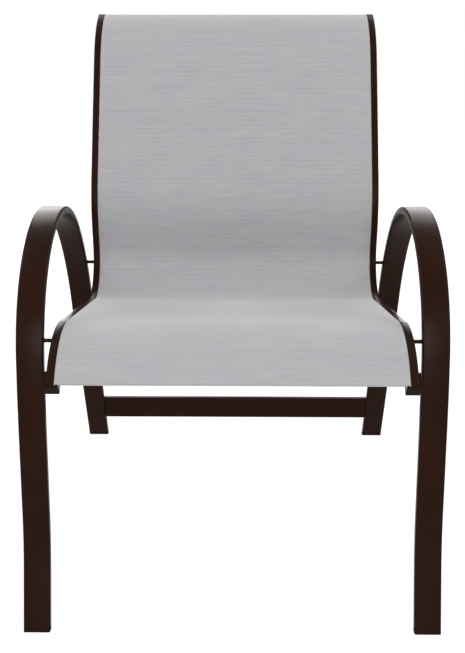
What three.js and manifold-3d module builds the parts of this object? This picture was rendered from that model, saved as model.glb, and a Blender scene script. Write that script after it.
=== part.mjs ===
// Sling patio chair. Two side frames, each one flat tube bent into front leg, arm and rear leg, carry two
// S-shaped sling rails on short welded pins. A woven sling is stretched between the rails, and spreader bars
// hold the rails apart. Millimetres, +Z up. The chair faces -Y and left is the sitter's left, +X.
// The origin is on the floor, under the middle of the chair.
import * as THREE from 'three';
import { mergeVertices } from 'three/addons/utils/BufferGeometryUtils.js';
import Module from 'manifold-3d';

const wasm = await Module();
wasm.setup();

// Fits and cuts that the whole chair shares
const seatGap = 0.3;
const overrun = 6;
const facetAngle = 9;
const cornerFacets = 2;
const roundFacets = 12;

// Side frame: flat tube, 40 mm wide across the chair
const overallWidth = 625.6;
const tubeWidth = 40.2;
const tubeThickness = 12.7;
const tubeWall = 2;
const tubeEdgeRadius = 3;

// Side frame bends, from the front foot up, over the arm and down to the rear foot
const footAngle = 71.2;
const footStraight = 93;
const kickRadius = 463;
const kickAngle = 10.8;
const legStraight = 132.1;
const shoulderRadius = 1190;
const shoulderAngle = 5;
const armRadius = 212.4;
const armAngle = 122.2;
const rearRadius = 396;
const rearAngle = 26.8;
const rearStraight = 133;
const heelRadius = 436;
const heelAngle = 2.2;

// Glides: plastic plugs in the four tube ends
const glideSole = 6;
const glideEdge = 1.2;
const glideStem = 16;

// Rear stretcher: a broader flat tube, set upright and welded between the rear legs
const stretcherWidth = 44;
const stretcherHeight = 76;

// Sling rail: extruded section with a keyhole groove in its face
const railGap = 13.1;
const railWidth = 17.2;
const railDepth = 24;
const railCorner = 1.6;
const railWall = 1.8;
const railOuterWall = 2.5;
const grooveInset = 12.8;
const grooveSlot = 2.6;
const grooveRadius = 2.85;
const grooveLip = 2;

// Sling rail bends, from the front end over the front edge of the seat and up to the top of the back
const seatHeight = 443;
const crownSetback = 25;
const frontEndAngle = 44.5;
const frontStraight = 21;
const crownRadius = 130;
const crownAngle = 56;
const seatStraight = 269;
const seatBendRadius = 71;
const seatBendAngle = 103.4;
const lowerBackStraight = 33;
const lumbarRadius = 194;
const lumbarAngle = 28.9;
const backStraight = 223;
const rollRadius = 144;
const rollAngle = 40.5;
const topStraight = 11;

// Rail caps: plastic plugs with a flange as large as the rail. A front cap also has a bumper, which lies
// along the rail's outer side and keeps stacked chairs apart
const capFlange = 2.4;
const capEdge = 0.8;
const capStem = 10;
const bumperWidth = 3.8;
const bumperLength = 24;
const bumperDrop = 3;

// Pins: round bar welded between side frame and rail
const pinRadius = 2.9;
const pinDepth = 9;
const pinReach = 1.2;
const pinWeld = 1.3;

// Sling: woven mesh with a pocket along each side, which a spline rod locks into the groove
const slingThickness = 1.2;
const slingSag = 4;
const slingInset = 2;
const slingSpans = 6;
const pocketRadius = 2.5;
const splineRadius = 1.45;

// Spreader bars: round tube, bowed away from the sitter
const spreaderRadius = 8;
const spreaderWall = 1.6;
const spreaderDepth = 15.5;
const spreaderEnd = 30;
const spreaderKnuckle = 60;
const spreaderBow = 14;
const frontSpreaderSetback = 14;
const seatSpreaderSetback = 32;
const backSpreaderDrop = 40;

// Spreader fixings: a threaded plug in each bar end and a countersunk screw through the rail
const plugLength = 18;
const screwRadius = 2.5;
const screwHeadRadius = 4.6;
const screwHeadDepth = 2.1;
const screwGrip = 14;

// Values worked out from the sizes above
const radians = THREE.MathUtils.degToRad;
const tubeInnerX = overallWidth / 2 - tubeWidth;
const railOuterX = tubeInnerX - railGap;
const railInnerX = railOuterX - railWidth;
const grooveX = railOuterX - grooveInset;
const grooveDepth = grooveLip + grooveRadius;

// A bar bent in one plane, as a bender makes it: straights and arcs that meet without a kink.
// Its stations stand only where the bar starts to turn or turns, so straights stay single facets.
class BentPath extends THREE.Curve {
  constructor(along, up, angle) {
    super();
    this.along = along;
    this.up = up;
    this.stations = [{ a: 0, b: 0, heading: radians(angle), travelled: 0 }];
  }

  get last() {
    return this.stations[this.stations.length - 1];
  }

  straight(length) {
    const { a, b, heading, travelled } = this.last;
    this.stations.push({
      a: a + length * Math.cos(heading),
      b: b + length * Math.sin(heading),
      heading,
      travelled: travelled + length,
    });
    return this;
  }

  bend(radius, angle) {
    const start = this.last;
    const side = Math.sign(angle);
    const count = Math.max(1, Math.ceil(Math.abs(angle) / facetAngle));
    for (let i = 1; i <= count; i += 1) {
      const turned = (radians(angle) * i) / count;
      const heading = start.heading + turned;
      this.stations.push({
        a: start.a + side * radius * (Math.sin(heading) - Math.sin(start.heading)),
        b: start.b - side * radius * (Math.cos(heading) - Math.cos(start.heading)),
        heading,
        travelled: start.travelled + radius * Math.abs(turned),
      });
    }
    return this;
  }

  moveBy(a, b) {
    for (const station of this.stations) {
      station.a += a;
      station.b += b;
    }
    return this;
  }

  // The place, a distance along the bar and a depth below its upper side
  place(distance, depth = 0) {
    const next = Math.max(1, this.stations.findIndex((station) => station.travelled >= distance));
    const [from, to] = [this.stations[next - 1], this.stations[next]];
    const part = (distance - from.travelled) / (to.travelled - from.travelled);
    const heading = THREE.MathUtils.lerp(from.heading, to.heading, part);
    return {
      a: THREE.MathUtils.lerp(from.a, to.a, part) + depth * Math.sin(heading),
      b: THREE.MathUtils.lerp(from.b, to.b, part) - depth * Math.cos(heading),
      heading,
    };
  }

  // The line that runs at a depth below the upper side, as points in the plane of the bends
  line(depth) {
    return this.stations.map(({ a, b, heading }) => new THREE.Vector2(
      a + depth * Math.sin(heading),
      b - depth * Math.cos(heading),
    ));
  }

  station(share) {
    return this.stations[Math.round(share * (this.stations.length - 1))];
  }

  getPoint(share, target = new THREE.Vector3()) {
    const { a, b } = this.station(share);
    return target.set(0, 0, 0).addScaledVector(this.along, a).addScaledVector(this.up, b);
  }

  getPointAt(share, target) {
    return this.getPoint(share, target);
  }

  getTangentAt(share, target = new THREE.Vector3()) {
    const { heading } = this.station(share);
    return target.set(0, 0, 0).addScaledVector(this.along, Math.cos(heading))
      .addScaledVector(this.up, Math.sin(heading));
  }
}

const acrossX = new THREE.Vector3(1, 0, 0);
const alongY = new THREE.Vector3(0, 1, 0);
const upZ = new THREE.Vector3(0, 0, 1);

// Outlines

function roundedOutline(width, height, radius, facets = cornerFacets) {
  const points = [];
  const corners = [[1, 1, 0], [-1, 1, 90], [-1, -1, 180], [1, -1, 270]];
  for (const [sideX, sideY, from] of corners) {
    for (let i = 0; i <= facets; i += 1) {
      const angle = radians(from + (90 * i) / facets);
      points.push(new THREE.Vector2(
        sideX * (width / 2 - radius) + radius * Math.cos(angle),
        sideY * (height / 2 - radius) + radius * Math.sin(angle),
      ));
    }
  }
  return points;
}

function moved(points, x, y) {
  return points.map((point) => new THREE.Vector2(point.x + x, point.y + y));
}

function arcPoints(centreX, centreY, radius, from, to, count) {
  return Array.from({ length: count + 1 }, (unused, i) => {
    const angle = radians(from + ((to - from) * i) / count);
    return new THREE.Vector2(centreX + radius * Math.cos(angle), centreY + radius * Math.sin(angle));
  });
}

function shapeOf(outline, holes = []) {
  const shape = new THREE.Shape(outline);
  for (const hole of holes) {
    shape.holes.push(new THREE.Path(hole));
  }
  return shape;
}

// A flat tube's section, its width along X. The small corners inside it are single facets
function tubeShape(width) {
  const hollow = roundedOutline(
    width - 2 * tubeWall,
    tubeThickness - 2 * tubeWall,
    tubeEdgeRadius - tubeWall,
    1,
  );
  return shapeOf(roundedOutline(width, tubeThickness, tubeEdgeRadius), [hollow]);
}

// Solids

function sweep(shape, path) {
  return new THREE.ExtrudeGeometry(shape, {
    steps: path.stations.length - 1,
    bevelEnabled: false,
    extrudePath: path,
  });
}

function toManifold(geometry) {
  const bare = geometry.clone();
  bare.deleteAttribute('normal');
  bare.deleteAttribute('uv');
  const welded = mergeVertices(bare);
  return new wasm.Manifold(new wasm.Mesh({
    numProp: 3,
    vertProperties: welded.getAttribute('position').array,
    triVerts: new Uint32Array(welded.index.array),
  }));
}

function toGeometry(manifold) {
  const mesh = manifold.getMesh();
  const geometry = new THREE.BufferGeometry();
  geometry.setAttribute('position', new THREE.BufferAttribute(mesh.vertProperties, 3));
  geometry.setIndex(new THREE.BufferAttribute(mesh.triVerts, 1));
  geometry.computeVertexNormals();
  return geometry;
}

function cut(geometry, cutters) {
  return toGeometry(cutters.reduce(
    (body, cutter) => body.subtract(toManifold(cutter)),
    toManifold(geometry),
  ));
}

function join(pieces) {
  return toGeometry(wasm.Manifold.union(pieces.map(toManifold)));
}

// The same piece for the sitter's right, with its faces turned back outwards
function mirrored(geometry) {
  const solid = mergeVertices(geometry.clone().deleteAttribute('normal').deleteAttribute('uv'));
  solid.scale(-1, 1, 1);
  const turned = Array.from(solid.index.array);
  for (let i = 0; i < turned.length; i += 3) {
    [turned[i + 1], turned[i + 2]] = [turned[i + 2], turned[i + 1]];
  }
  solid.setIndex(turned);
  solid.computeVertexNormals();
  return solid;
}

// A profile of [distance, radius] pairs turned about a line along X
function turnedAlongX(profile, x, place) {
  const points = profile.map(([distance, radius]) => new THREE.Vector2(radius, distance));
  return new THREE.LatheGeometry(points, roundFacets).rotateZ(-Math.PI / 2).translate(x, place.a, place.b);
}

// Puts a solid made along Z on the end of a bar: Z runs along the bar and Y towards its upper side
function onBarEnd(geometry, place, outwards) {
  const direction = new THREE.Vector3(0, Math.cos(place.heading), Math.sin(place.heading));
  const face = new THREE.Vector3().crossVectors(acrossX, direction);
  const sideways = new THREE.Vector3().crossVectors(face, direction.multiplyScalar(outwards));
  const frame = new THREE.Matrix4().makeBasis(sideways, face, direction);
  frame.setPosition(0, place.a, place.b);
  return geometry.applyMatrix4(frame);
}

// Side frame

const framePath = new BentPath(alongY, upZ, footAngle);
framePath.straight(footStraight + overrun)
  .bend(kickRadius, kickAngle)
  .straight(legStraight)
  .bend(shoulderRadius, -shoulderAngle)
  .bend(armRadius, -armAngle)
  .bend(rearRadius, -rearAngle)
  .straight(rearStraight)
  .bend(heelRadius, heelAngle)
  .moveBy(-overrun * Math.cos(radians(footAngle)), -overrun * Math.sin(radians(footAngle)));
framePath.straight(overrun - framePath.last.b / Math.sin(framePath.last.heading));

// Where the line of a bar crosses a height, counted from its front or from its back
function atHeight(path, height, fromBack) {
  const line = path.stations;
  const order = fromBack ? line.map((unused, i) => line.length - 2 - i) : line.map((unused, i) => i);
  const found = order.find((i) => i >= 0 && i < line.length - 1
    && (line[i].b - height) * (line[i + 1].b - height) <= 0);
  const [from, to] = [line[found], line[found + 1]];
  const part = (height - from.b) / (to.b - from.b);
  return path.place(THREE.MathUtils.lerp(from.travelled, to.travelled, part));
}

function sideFrame(pinPlaces) {
  const tube = sweep(tubeShape(tubeWidth), framePath);
  tube.translate(overallWidth / 2 - tubeWidth / 2, 0, 0);
  tube.computeBoundingBox();
  const depth = tube.boundingBox.max.y - tube.boundingBox.min.y + 2 * overrun;
  const below = tubeThickness + overrun;
  const floorCut = new THREE.BoxGeometry(tubeWidth + 2 * overrun, depth, glideSole + below);
  floorCut.translate(
    overallWidth / 2 - tubeWidth / 2,
    (tube.boundingBox.max.y + tube.boundingBox.min.y) / 2,
    (glideSole - below) / 2,
  );
  const drills = pinPlaces.map((place) => turnedAlongX(
    [[0, 0], [0, pinRadius + seatGap / 2], [2 * tubeWall, pinRadius + seatGap / 2], [2 * tubeWall, 0]],
    tubeInnerX - tubeWall / 2,
    place,
  ));
  return cut(tube, [floorCut, ...drills]);
}

// A glide follows the lean of its leg, so it is made upright and then sheared
function glide(foot) {
  const lean = Math.cos(foot.heading) / Math.sin(foot.heading);
  const stretch = 1 / Math.abs(Math.sin(foot.heading));
  const padHeight = glideSole - seatGap;
  const padShape = shapeOf(roundedOutline(tubeWidth, tubeThickness * stretch, tubeEdgeRadius));
  const pad = new THREE.ExtrudeGeometry(padShape, {
    depth: padHeight - 2 * glideEdge,
    bevelThickness: glideEdge,
    bevelSize: glideEdge,
    bevelOffset: -glideEdge,
    bevelSegments: 2,
  }).translate(0, 0, glideEdge);
  const play = 2 * (tubeWall + seatGap);
  const stemShape = shapeOf(roundedOutline(
    tubeWidth - play,
    (tubeThickness - play) * stretch,
    tubeEdgeRadius - tubeWall,
  ));
  const stem = new THREE.ExtrudeGeometry(stemShape, {
    depth: glideStem + glideEdge,
    bevelEnabled: false,
  }).translate(0, 0, padHeight - glideEdge);
  const shear = new THREE.Matrix4().set(1, 0, 0, 0, 0, 1, lean, 0, 0, 0, 1, 0, 0, 0, 0, 1);
  return join([pad, stem]).applyMatrix4(shear).translate(overallWidth / 2 - tubeWidth / 2, foot.a, 0);
}

// The stretcher butts against the inner edges of the rear legs
function rearStretcher() {
  const place = atHeight(framePath, stretcherHeight, true);
  const length = 2 * (tubeInnerX - seatGap);
  const tube = new THREE.ExtrudeGeometry(tubeShape(stretcherWidth), {
    depth: length,
    bevelEnabled: false,
  });
  tube.translate(0, 0, -length / 2);
  const face = new THREE.Vector3().crossVectors(acrossX, upZ);
  const frame = new THREE.Matrix4().makeBasis(upZ, face, acrossX).setPosition(0, place.a, place.b);
  return tube.applyMatrix4(frame);
}

// Sling rail

function bendRail(inset) {
  const path = new BentPath(alongY, upZ, frontEndAngle);
  path.straight(frontStraight - inset)
    .bend(crownRadius, -frontEndAngle)
    .bend(crownRadius, frontEndAngle - crownAngle);
  const crown = path.stations.find((station) => Math.abs(station.heading) < radians(facetAngle) / 4);
  const seatStart = path.last.travelled;
  path.straight(seatStraight);
  const seatEnd = path.last.travelled;
  path.bend(seatBendRadius, seatBendAngle)
    .straight(lowerBackStraight)
    .bend(lumbarRadius, -lumbarAngle)
    .straight(backStraight);
  const backEnd = path.last.travelled;
  path.bend(rollRadius, -rollAngle).straight(topStraight - inset);
  const leg = atHeight(framePath, seatHeight, false);
  path.moveBy(leg.a + crownSetback - crown.a, seatHeight - crown.b);
  return { path, seatStart, seatEnd, backEnd };
}

const rail = bendRail(0);

// Where the pins pass through both rail and side frame: the crossings of their two lines
function crossings(first, second) {
  const found = [];
  for (let i = 1; i < first.length; i += 1) {
    for (let j = 1; j < second.length; j += 1) {
      const p = first[i - 1];
      const q = second[j - 1];
      const r = first[i].clone().sub(p);
      const s = second[j].clone().sub(q);
      const across = r.cross(s);
      const between = q.clone().sub(p);
      const onFirst = between.cross(s) / across;
      const onSecond = between.cross(r) / across;
      if (onFirst >= 0 && onFirst < 1 && onSecond >= 0 && onSecond < 1) {
        found.push({ a: p.x + r.x * onFirst, b: p.y + r.y * onFirst });
      }
    }
  }
  return found;
}

const pinCrossings = crossings(framePath.line(0), rail.path.line(pinDepth));
const pins = { front: pinCrossings[0], rear: pinCrossings[pinCrossings.length - 1] };

const spreaders = {
  front: rail.path.place(rail.seatStart + frontSpreaderSetback, spreaderDepth),
  seat: rail.path.place(rail.seatEnd - seatSpreaderSetback, spreaderDepth),
  back: rail.path.place(rail.backEnd - backSpreaderDrop, spreaderDepth),
};

// Section of the sitter's left rail, X measured inwards from its outer side and Y down from its face
function railSection() {
  const half = grooveSlot / 2;
  const mouth = THREE.MathUtils.radToDeg(Math.asin(half / grooveRadius));
  const body = moved(roundedOutline(railWidth, railDepth, railCorner, 1), railWidth / 2, -railDepth / 2);
  const groove = [
    new THREE.Vector2(grooveInset + half, 0),
    ...arcPoints(grooveInset, -grooveDepth, grooveRadius, 90 - mouth, mouth - 270, roundFacets / 2),
    new THREE.Vector2(grooveInset - half, 0),
  ];
  const firstCorner = 2;
  const outline = [...body.slice(0, firstCorner), ...groove, ...body.slice(firstCorner)];
  const column = grooveInset - grooveRadius - railWall;
  const shelf = -grooveDepth - grooveRadius - railWall;
  const chamber = [
    [railOuterWall, -railWall],
    [railOuterWall, railWall - railDepth],
    [railWidth - railWall, railWall - railDepth],
    [railWidth - railWall, shelf],
    [column, shelf],
    [column, -railWall],
  ].map(([x, y]) => new THREE.Vector2(x, y));
  return shapeOf(outline, [chamber]);
}

function screwHole(place) {
  const clearance = screwRadius + seatGap;
  const mouth = screwHeadRadius + seatGap;
  const depth = screwHeadDepth + seatGap;
  return turnedAlongX([
    [-overrun, 0],
    [-overrun, clearance],
    [railWidth - depth, clearance],
    [railWidth, mouth],
    [railWidth + overrun, mouth],
    [railWidth + overrun, 0],
  ], railInnerX, place);
}

function slingRail() {
  const bar = sweep(railSection(), rail.path).translate(railOuterX, 0, 0);
  const drills = Object.values(pins).map((place) => turnedAlongX(
    [
      [0, 0],
      [0, pinRadius + seatGap / 2],
      [2 * railOuterWall, pinRadius + seatGap / 2],
      [2 * railOuterWall, 0],
    ],
    railOuterX - 3 * railOuterWall / 2,
    place,
  ));
  return cut(bar, [...drills, ...Object.values(spreaders).map(screwHole)]);
}

// A cap closes a rail end: its flange covers the section, and its stem fills the chamber below the groove.
// A bumper stands beside the rail, on the side away from the sling
function railCap(place, outwards, bumper) {
  const flangeOutline = roundedOutline(railWidth + bumper, railDepth, railCorner, 1);
  const flange = new THREE.ExtrudeGeometry(
    shapeOf(moved(flangeOutline, (-outwards * bumper) / 2, -railDepth / 2)),
    {
      depth: capFlange - 2 * capEdge,
      bevelThickness: capEdge,
      bevelSize: capEdge,
      bevelOffset: -capEdge,
      bevelSegments: 2,
    },
  ).translate(0, 0, seatGap + capEdge);
  const shelf = grooveDepth + grooveRadius + railWall;
  const width = railWidth - railWall - railOuterWall - 2 * seatGap;
  const height = railDepth - railWall - shelf - 2 * seatGap;
  const stem = new THREE.BoxGeometry(width, height, capStem + seatGap + capEdge);
  const lean = (railOuterWall - railWall) / 2;
  stem.translate(outwards * lean, -shelf - seatGap - height / 2, (seatGap + capEdge - capStem) / 2);
  const pieces = [flange, stem];
  if (bumper > 0) {
    const outline = roundedOutline(bumper - seatGap, railDepth - bumperDrop, capEdge, 1);
    const middle = (railWidth + bumper + seatGap) / 2;
    pieces.push(new THREE.ExtrudeGeometry(
      shapeOf(moved(outline, -outwards * middle, -(railDepth + bumperDrop) / 2)),
      { depth: bumperLength + seatGap + capEdge, bevelEnabled: false },
    ).translate(0, 0, -bumperLength));
  }
  return onBarEnd(join(pieces), place, outwards).translate((railOuterX + railInnerX) / 2, 0, 0);
}

// A pin is welded into the side frame and into the rail, with a small fillet round each end
function railPin(place) {
  const from = railOuterWall + pinReach;
  const to = from + railGap;
  return turnedAlongX([
    [0, 0],
    [0, pinRadius],
    [from + seatGap, pinRadius],
    [from + seatGap, pinRadius + pinWeld],
    [from + seatGap + pinWeld, pinRadius],
    [to - seatGap - pinWeld, pinRadius],
    [to - seatGap, pinRadius + pinWeld],
    [to - seatGap, pinRadius],
    [to + tubeWall + pinReach, pinRadius],
    [to + tubeWall + pinReach, 0],
  ], railOuterX - from, place);
}

// Sling and splines

const slingRun = bendRail(slingInset);

function sling() {
  const half = slingThickness / 2;
  const width = 2 * grooveX + slingThickness;
  const over = seatGap + slingThickness;
  const ring = roundFacets / 2;
  const mouth = THREE.MathUtils.radToDeg(Math.asin(half / pocketRadius));
  const across = Array.from({ length: slingSpans + 1 }, (unused, i) => {
    const share = (2 * i) / slingSpans - 1;
    return [share, -slingSag * (1 - share * share)];
  });
  const top = across.map(([share, sag]) => new THREE.Vector2((share * width) / 2, over + sag));
  const under = across.map(([share, sag]) => new THREE.Vector2(
    share * (width / 2 - slingThickness),
    seatGap + sag,
  ));
  const right = arcPoints(grooveX, -grooveDepth, pocketRadius, 90 - mouth, mouth - 270, ring);
  const left = arcPoints(-grooveX, -grooveDepth, pocketRadius, 90 - mouth, mouth - 270, ring);
  const outline = [...top, ...right, ...under.reverse(), ...left];
  const bore = splineRadius + seatGap;
  const holes = [grooveX, -grooveX].map(
    (x) => arcPoints(x, -grooveDepth, bore, 0, 360, ring).slice(0, ring),
  );
  return sweep(shapeOf(outline, holes), slingRun.path);
}

function spline() {
  const outline = arcPoints(0, -grooveDepth, splineRadius, 0, 360, roundFacets / 2).slice(0, roundFacets / 2);
  return sweep(shapeOf(outline), slingRun.path).translate(grooveX, 0, 0);
}

// Spreader bars and their fixings

function spreaderBar(place) {
  const half = railInnerX - seatGap;
  const away = new THREE.Vector3(0, -Math.sin(place.heading), Math.cos(place.heading));
  const bow = radians(spreaderBow);
  const sweepRadius = (half - spreaderEnd) / Math.sin(bow) - spreaderKnuckle;
  const path = new BentPath(acrossX, away, 0);
  path.straight(spreaderEnd)
    .bend(spreaderKnuckle, -spreaderBow)
    .bend(sweepRadius, 2 * spreaderBow)
    .bend(spreaderKnuckle, -spreaderBow)
    .straight(spreaderEnd)
    .moveBy(-half, 0);
  const round = (radius, count) => arcPoints(0, 0, radius, 0, 360, count).slice(0, count);
  const section = shapeOf(
    round(spreaderRadius, roundFacets),
    [round(spreaderRadius - spreaderWall, roundFacets)],
  );
  return sweep(section, path).translate(0, place.a, place.b);
}

function spreaderPlug(place) {
  const bore = screwRadius + seatGap;
  const radius = spreaderRadius - spreaderWall - seatGap;
  return turnedAlongX(
    [[0, bore], [0, radius], [plugLength, radius], [plugLength, bore], [0, bore]],
    railInnerX - seatGap - plugLength,
    place,
  );
}

function spreaderScrew(place) {
  const length = railWidth + screwGrip;
  return turnedAlongX([
    [0, 0],
    [0, screwRadius],
    [length - screwHeadDepth, screwRadius],
    [length, screwHeadRadius],
    [length, 0],
  ], railOuterX - length, place);
}

// Materials

function finish(color, roughness, metalness) {
  return new THREE.MeshStandardMaterial({ color, roughness, metalness });
}

const powderCoat = finish(0x2c1b14, 0.42, 0.1);
const slingWeave = finish(0xb4b3b6, 0.85, 0);
const darkPlastic = finish(0x1d1512, 0.6, 0);
const splinePlastic = finish(0x8d8d8f, 0.5, 0);
const zincSteel = finish(0x8f8c88, 0.4, 0.9);

// Assembly

const chair = new THREE.Group();

function add(name, geometry, material) {
  const mesh = new THREE.Mesh(geometry, material.clone());
  mesh.name = name;
  chair.add(mesh);
}

function addPair(name, geometry, material) {
  add(`${name}_left`, geometry, material);
  add(`${name}_right`, mirrored(geometry), material);
}

const feet = { front: atHeight(framePath, 0, false), rear: atHeight(framePath, 0, true) };

addPair('side_frame', sideFrame(Object.values(pins)), powderCoat);
for (const [end, foot] of Object.entries(feet)) {
  addPair(`glide_${end}`, glide(foot), darkPlastic);
}
add('rear_stretcher', rearStretcher(), powderCoat);

addPair('sling_rail', slingRail(), powderCoat);
for (const [end, place] of Object.entries(pins)) {
  addPair(`rail_pin_${end}`, railPin(place), powderCoat);
}
addPair('rail_cap_front', railCap(rail.path.place(0), -1, bumperWidth), darkPlastic);
addPair('rail_cap_top', railCap(rail.path.place(rail.path.last.travelled), 1, 0), darkPlastic);

for (const [row, place] of Object.entries(spreaders)) {
  add(`spreader_${row}`, spreaderBar(place), powderCoat);
  addPair(`spreader_plug_${row}`, spreaderPlug(place), zincSteel);
  addPair(`spreader_screw_${row}`, spreaderScrew(place), zincSteel);
}

add('sling', sling(), slingWeave);
addPair('spline', spline(), splinePlastic);

// The origin goes to the middle of the chair's depth; the glides already stand at zero height
const bounds = new THREE.Box3().setFromObject(chair);
chair.position.y = -(bounds.min.y + bounds.max.y) / 2;

export default chair;
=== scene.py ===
import math

import bmesh
import bpy
from mathutils import Matrix, Vector


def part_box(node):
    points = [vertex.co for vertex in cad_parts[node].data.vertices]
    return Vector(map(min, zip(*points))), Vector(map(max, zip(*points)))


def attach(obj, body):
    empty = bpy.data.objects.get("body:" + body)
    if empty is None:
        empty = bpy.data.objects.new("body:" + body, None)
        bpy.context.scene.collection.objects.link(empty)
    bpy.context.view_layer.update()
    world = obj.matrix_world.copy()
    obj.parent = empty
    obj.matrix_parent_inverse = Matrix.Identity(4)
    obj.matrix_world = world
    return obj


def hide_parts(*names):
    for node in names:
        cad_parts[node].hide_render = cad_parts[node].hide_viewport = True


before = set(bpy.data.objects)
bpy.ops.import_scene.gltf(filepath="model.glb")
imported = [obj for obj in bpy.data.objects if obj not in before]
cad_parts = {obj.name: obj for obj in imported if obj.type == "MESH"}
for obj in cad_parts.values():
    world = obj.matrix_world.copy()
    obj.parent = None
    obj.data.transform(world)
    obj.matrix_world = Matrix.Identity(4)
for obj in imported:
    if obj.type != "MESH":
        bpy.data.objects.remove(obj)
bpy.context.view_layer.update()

# Camera. It stands 1.5 m in front of the chair's middle and 0.9 m above the floor, and looks down on the
# chair, in portrait.
PHOTO_HEIGHT_PIXELS = 653
FOCAL_PIXELS = 956.4
SENSOR_MM = 36
CAMERA_PLACE = (0.012, -1.549, 0.9214)
CAMERA_DOWN = math.radians(20)
CAMERA_LEFT = math.radians(0.54)

bpy.ops.object.select_all(action="DESELECT")
bpy.ops.object.camera_add(
    location=CAMERA_PLACE, rotation=(math.pi / 2 - CAMERA_DOWN, 0, CAMERA_LEFT)
)
camera = bpy.context.object
camera.name = "camera"
camera.data.sensor_fit = "AUTO"
camera.data.sensor_width = SENSOR_MM
camera.data.lens = FOCAL_PIXELS * SENSOR_MM / PHOTO_HEIGHT_PIXELS
bpy.context.scene.camera = camera
bpy.context.scene.view_settings.view_transform = "Standard"


# Studio. A matt white floor in an even white room, with soft lamps above both sides, in front and at both
# front corners, two tall ones behind that show on the arms, and two low pairs behind that show on the rails.
# The camera doesn't see the lamps. The floor shows white to it and in reflections, and keeps the shadow.
FLOOR_SIZE = 60
FLOOR_WHITE = "e8e8e8"
FLOOR_SHOWN = "7c7c7c"
FLOOR_LIFT = 0.94
ROOM_WHITE = "ffffff"
ROOM_STRENGTH = 0.3
HANDS = {"left": 1, "right": -1}
SEAT_AIM = (0, 0, 0.4)
ARM_AIM = (0, 0, 0.6)
LAMP_SIZE = (1.8, 1.8)
UPPER_LAMP_PLACE = (2.2, 0, 2.8)
UPPER_LAMP_WATTS = 28
CORNER_LAMP_PLACE = (2.2, -1.6, 1.6)
CORNER_LAMP_WATTS = 19
FRONT_LAMP_PLACE = (0, -3.4, 1.5)
FRONT_LAMP_WATTS = 50
BACK_LAMP_PLACE = (1, 3.6, 2.15)
BACK_LAMP_SIZE = (1.4, 2.9)
BACK_LAMP_WATTS = {"left": 32, "right": 48}
LOW_LAMP_PLACE = (0.8, 3.6, 0.2)
LOW_LAMP_SIZE = (1, 0.3)
LOW_LAMP_WATTS = 1.5
NEAR_LAMP_PLACE = (0.6, 2, 0.12)
NEAR_LAMP_SIZE = (1, 0.2)
NEAR_LAMP_WATTS = 3


def linear(hex_colour):
    """Turns an sRGB hex colour into the linear colour that a node takes"""
    shares = [int(hex_colour[i:i + 2], 16) / 255 for i in (0, 2, 4)]
    return [s / 12.92 if s <= 0.04045 else ((s + 0.055) / 1.055) ** 2.4 for s in shares] + [1]


def node(tree, kind, inputs=None, **settings):
    """Adds a node with its settings, and feeds its inputs with values or with other nodes' outputs"""
    added = tree.nodes.new(kind)
    for name, value in settings.items():
        setattr(added, name, value)
    for name, value in (inputs or {}).items():
        if isinstance(value, bpy.types.NodeSocket):
            tree.links.new(value, added.inputs[name])
        else:
            added.inputs[name].default_value = value
    return added


def material(name):
    """A new material with an empty tree and its output"""
    made = bpy.data.materials.new(name)
    made.use_nodes = True
    made.node_tree.nodes.clear()
    return made, made.node_tree, made.node_tree.nodes.new("ShaderNodeOutputMaterial")


def seen_directly(tree):
    """1 for rays that show the background: from the camera, in a reflection or through glass"""
    path = node(tree, "ShaderNodeLightPath")
    shown = node(tree, "ShaderNodeMath", {
        0: path.outputs["Is Camera Ray"], 1: path.outputs["Is Glossy Ray"],
    }, operation="MAXIMUM")
    shown = node(tree, "ShaderNodeMath", {
        0: shown.outputs[0], 1: path.outputs["Is Transmission Ray"],
    }, operation="MAXIMUM")
    return shown.outputs[0]


floor_paint, tree, output = material("matt white floor paint")
plain = node(tree, "ShaderNodeBsdfDiffuse", {"Color": linear(FLOOR_WHITE)})
shown = node(tree, "ShaderNodeBsdfDiffuse", {"Color": linear(FLOOR_SHOWN)})
lift = node(tree, "ShaderNodeEmission", {"Color": linear(ROOM_WHITE), "Strength": FLOOR_LIFT})
lifted = node(tree, "ShaderNodeAddShader", {0: shown.outputs[0], 1: lift.outputs[0]})
mixed = node(tree, "ShaderNodeMixShader", {
    0: seen_directly(tree), 1: plain.outputs[0], 2: lifted.outputs[0],
})
tree.links.new(mixed.outputs[0], output.inputs["Surface"])

bpy.ops.mesh.primitive_plane_add(size=FLOOR_SIZE)
floor = bpy.context.object
floor.name = "floor"
floor.data.materials.append(floor_paint)

room = bpy.data.worlds.new("white room")
room.use_nodes = True
tree = room.node_tree
tree.nodes.clear()
strength = node(tree, "ShaderNodeMapRange", {
    "Value": seen_directly(tree), "To Min": ROOM_STRENGTH, "To Max": 1,
})
background = node(tree, "ShaderNodeBackground", {
    "Color": linear(ROOM_WHITE), "Strength": strength.outputs[0],
})
output = node(tree, "ShaderNodeOutputWorld", {"Surface": background.outputs[0]})
bpy.context.scene.world = room


def lamp(name, place, aim, size, watts, side=1):
    """A soft rectangular lamp, on the sitter's left for side 1 and mirrored to the right for side -1"""
    place = (side * place[0], *place[1:])
    bpy.ops.object.light_add(type="AREA", location=place)
    made = bpy.context.object
    made.name = name
    made.rotation_euler = (Vector(aim) - Vector(place)).to_track_quat("-Z", "Y").to_euler()
    made.data.shape = "RECTANGLE"
    made.data.size, made.data.size_y = size
    made.data.energy = watts
    made.visible_camera = False


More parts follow.
